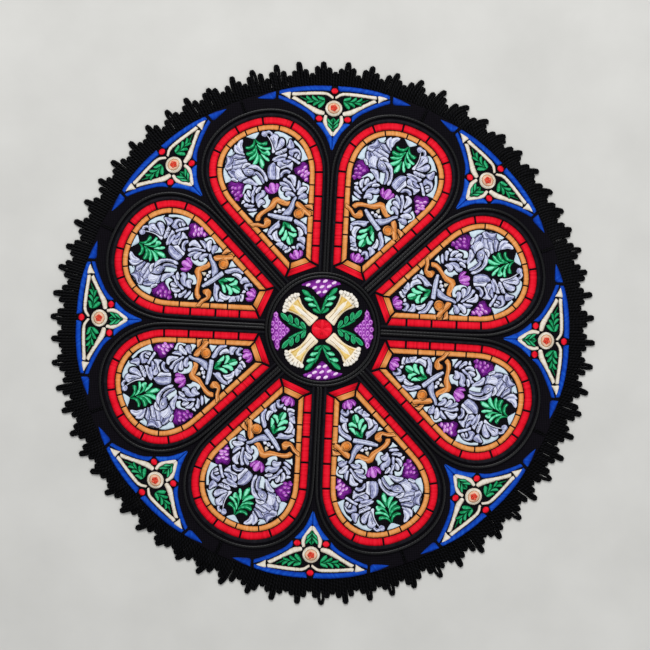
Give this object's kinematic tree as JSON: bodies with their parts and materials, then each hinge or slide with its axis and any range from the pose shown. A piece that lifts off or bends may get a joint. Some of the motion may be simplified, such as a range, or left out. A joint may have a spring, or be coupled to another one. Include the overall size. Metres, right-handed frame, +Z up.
{
  "type": "embroidered fringed table mat",
  "caption": "Round black cloth table mat that lies flat, embroidered with a stained-glass rose window in raised braid tracery and edged with a looped cord fringe.",
  "frame": {"origin": "on the underside, under the middle of the mat", "axes": "+Z up through the face, +Y towards the top of the picture, +X to its right"},
  "size_m": [0.4102, 0.4098, 0.0041],
  "materials": {
    "face_cloth": "dense matt embroidery in many colours on black cloth",
    "lining": "plain black cotton, matt",
    "fringe_cord": "twisted black viscose cord, slight sheen",
    "braid": "black double braid, slight sheen"
  },
  "bodies": {
    "root": {"lining": "lining", "face_cloth": "face_cloth", "fringe": "fringe_cord", "medallion_braid": "braid", "light_braid_1": "braid", "light_braid_2": "braid", "light_braid_3": "braid", "light_braid_4": "braid", "light_braid_5": "braid", "light_braid_6": "braid", "light_braid_7": "braid", "light_braid_8": "braid", "joint_cord_1": "braid", "joint_cord_2": "braid", "joint_cord_3": "braid", "joint_cord_4": "braid", "joint_cord_5": "braid", "joint_cord_6": "braid", "joint_cord_7": "braid", "joint_cord_8": "braid"}
  },
  "joints": []
}
